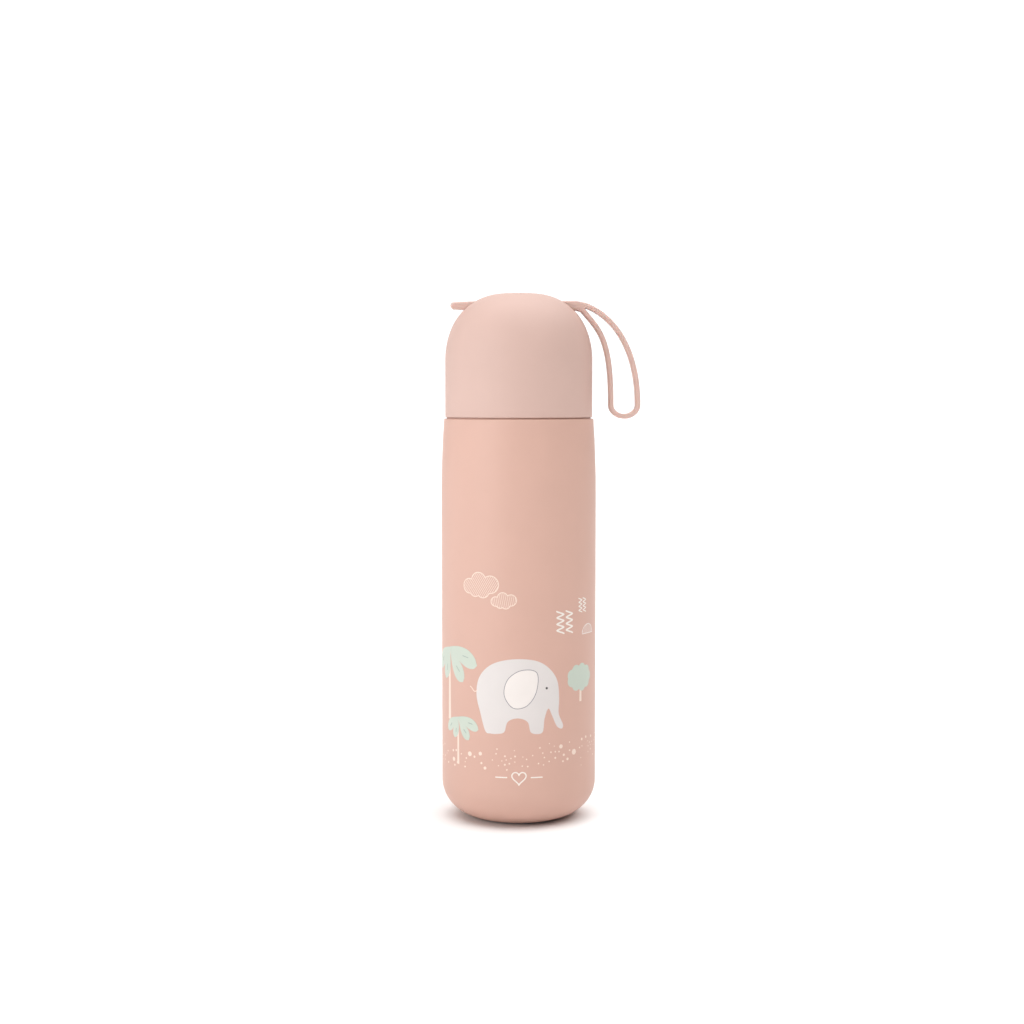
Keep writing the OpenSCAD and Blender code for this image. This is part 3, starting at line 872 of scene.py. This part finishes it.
def nursery_print():
    """The print: the elephant in front, and trees, clouds, zigzags and dots all round."""
    inks = {
        "mint": ink("ink_mint", MINT), "cream": ink("ink_cream", CREAM),
        "white": ink("ink_white", WHITE_INK), "grey": ink("ink_grey", GREY_INK),
        "sage": ink("ink_sage", SAGE_INK), "pale": ink("ink_pale", PALE_INK),
        "bright": ink("ink_bright", BRIGHT_INK), "dark": ink("ink_dark", DARK_INK),
    }
    animal(inks, 0, 44.0)
    cloud("print_cloud_a", inks, -29.5, 110.2, 1.0, 58)
    cloud("print_cloud_b", inks, -11.2, 103.6, 0.64, 100)
    zigzags("print_zigzags_a", inks, 35.4, 88.4, 1.0)
    zigzags("print_zigzags_b", inks, 53.8, 97, 0.64)
    hill("print_hill", inks, 61.5, 87)
    palm("print_palm_a", inks, -62, 47.6, 33, 1.4)
    palm("print_palm_b", inks, -50.5, 28.1, 21.5, 0.92)
    tree("print_tree_a", inks, 51.5, 67.6, 1.0)
    tree("print_tree_b", inks, 110, 62.5, 1.2)
    palm("print_palm_c", inks, 158, 40.5, 27, 1.2)
    tree("print_tree_c", inks, -165, 59, 0.9)
    palm("print_palm_d", inks, -118, 40, 22, 0.8)
    cloud("print_cloud_c", inks, 96, 108, 0.9, 70)
    cloud("print_cloud_d", inks, 172, 101, 1.1, 45)
    cloud("print_cloud_e", inks, -110, 112, 0.8, 120)
    zigzags("print_zigzags_c", inks, 135, 92, 0.9)
    zigzags("print_zigzags_d", inks, -140, 90, 0.8)
    dots(inks)
    mark(inks)


# ---- Set: floor, light and camera ----

# The strength that the world has in every direction
FRONT_LIGHT = 0.18
# Each: the direction it comes from, the cosines to it at which it starts and is full, and its strength
WORLD_LIGHT = (
    ((-1, 0, 0), 0.1, 0.6, 0.12),
    ((0.15, 0, 1), 0.6, 0.85, 2.5),
    ((0, 1, 0), 0.75, 0.93, 1.0),
    ((1, -0.35, 0), 0.2, 0.8, -0.12),  # takes light away, as a dark card at the right would
)
FLOOR_HALF = 12


def camera():
    """A short telephoto lens in front of the bottle, above its middle and tilted down a little."""
    data = bpy.data.cameras.new("camera")
    data.lens = 60.43
    data.sensor_width = 36
    data.clip_end = 100
    obj = bpy.data.objects.new("camera", data)
    obj.location = (-3.1 * MM, -0.791, 0.193)
    obj.rotation_euler = (math.pi / 2 - 0.066, 0, 0)
    bpy.context.scene.collection.objects.link(obj)
    bpy.context.scene.camera = obj


def area_light(name, place, target, size, power):
    data = bpy.data.lights.new(name, "AREA")
    data.shape = "RECTANGLE"
    data.size, data.size_y = size
    data.energy = power
    obj = bpy.data.objects.new(name, data)
    obj.location = place
    obj.rotation_euler = (Vector(target) - Vector(place)).to_track_quat("-Z", "Y").to_euler()
    obj.visible_camera = False
    bpy.context.scene.collection.objects.link(obj)
    return obj


def backdrop():
    """A studio as a world, white where it is seen, that lights the bottle most from above and behind."""
    world = bpy.data.worlds.new("studio")
    world.use_nodes = True
    tree = world.node_tree
    direction = tree.nodes.new("ShaderNodeTexCoord").outputs["Generated"]
    total = None
    for towards, start, full, strength in WORLD_LIGHT:
        along = tree.nodes.new("ShaderNodeVectorMath")
        along.operation = "DOT_PRODUCT"
        along.inputs[1].default_value = Vector(towards).normalized()
        tree.links.new(direction, along.inputs[0])
        step = tree.nodes.new("ShaderNodeMapRange")
        step.interpolation_type = "SMOOTHSTEP"
        step.inputs["From Min"].default_value = start
        step.inputs["From Max"].default_value = full
        step.inputs["To Min"].default_value = 0
        step.inputs["To Max"].default_value = strength
        tree.links.new(along.outputs["Value"], step.inputs["Value"])
        add = tree.nodes.new("ShaderNodeMath")
        add.operation = "ADD"
        add.inputs[0].default_value = FRONT_LIGHT
        if total:
            tree.links.new(total, add.inputs[0])
        tree.links.new(step.outputs["Result"], add.inputs[1])
        total = add.outputs["Value"]
    seen = tree.nodes.new("ShaderNodeLightPath").outputs["Is Camera Ray"]
    brightest = tree.nodes.new("ShaderNodeMath")
    brightest.operation = "MAXIMUM"
    tree.links.new(total, brightest.inputs[0])
    tree.links.new(seen, brightest.inputs[1])
    tree.links.new(brightest.outputs["Value"], tree.nodes["Background"].inputs["Strength"])
    tree.nodes["Background"].inputs["Color"].default_value = (1, 1, 1, 1)
    bpy.context.scene.world = world


def stage():
    """A pale floor, the world, a key light at the left and a panel that shows only in reflections."""
    n = Nodes("floor")
    n.drive(Base_Color=n.ramp(n.noise(3, 2.0), (0.93, 0.93, 0.93, 1), (0.95, 0.95, 0.95, 1)))
    n.set(Roughness=0.95, Specular_IOR_Level=0.1)
    corners = [(x * FLOOR_HALF, y * FLOOR_HALF, 0) for x, y in ((-1, -1), (1, -1), (1, 1), (-1, 1))]
    floor = new_object("floor", corners, [(0, 1, 2, 3)])
    floor.data.materials.append(n.material)
    backdrop()
    area_light("key", (-1.1, -0.95, 0.45), (0, 0, 0.12), (0.9, 1.0), 6.5)
    panel = area_light("panel", (-0.5, -0.65, 0.15), (0, -0.65, 0.15), (1.9, 1.2), 9)
    panel.visible_diffuse = False
    bpy.context.scene.view_settings.view_transform = "Standard"


# ---- Assembly ----

paint = body_paint()
cup_skin = cup_paint()
soft = silicone("strap_silicone", srgb(214, 181, 170))
pale = plastic("white_plastic", srgb(222, 218, 211))
clear = silicone("clear_silicone", srgb(214, 216, 213))
steel = brushed("steel", (0.62, 0.63, 0.64, 1), 0.3, (1, 1, 0.05))
disc_steel = turned("disc_steel", (0.62, 0.63, 0.64, 1), 0.28)

ride(lathe("body_shell", body_outline(), paint), "bottle", "body_paint", "outer_shell")
ride(lathe("body_neck", neck_outline(), steel), "bottle", "steel")
ride(cup_dome(cup_skin), "cup", "cup_paint", "cup_shell")
strap = moulded_band("strap", *strap_outlines(), STRAP_W, STRAP_EDGE, soft)
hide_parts("strap_shank", "strap_loop")
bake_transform(strap)
nursery_print()
spring_coil(steel)

CAD_LOOKS = {
    pale: ("neck_collar", "stopper_body", "stopper_base", "stopper_top", "valve_stem", "cup_liner"),
    clear: ("stopper_gasket", "valve_seal"),
    cup_skin: ("push_button",),
    steel: ("inner_vessel", "inner_base", "strap_pin", "getter"),
    disc_steel: ("base_disc", "outer_base"),
    brushed("copper_foil", (0.78, 0.42, 0.25, 1), 0.25, (1, 1, 0.2)): ("radiation_foil",),
    plastic("foam", srgb(246, 246, 240)): ("stopper_foam",),
    plastic("seal_glass", srgb(120, 132, 128)): ("vacuum_seal",),
}
for look, names in CAD_LOOKS.items():
    for name in names:
        for slot in frame["nodes"][name].material_slots:
            slot.material = look

camera()
stage()
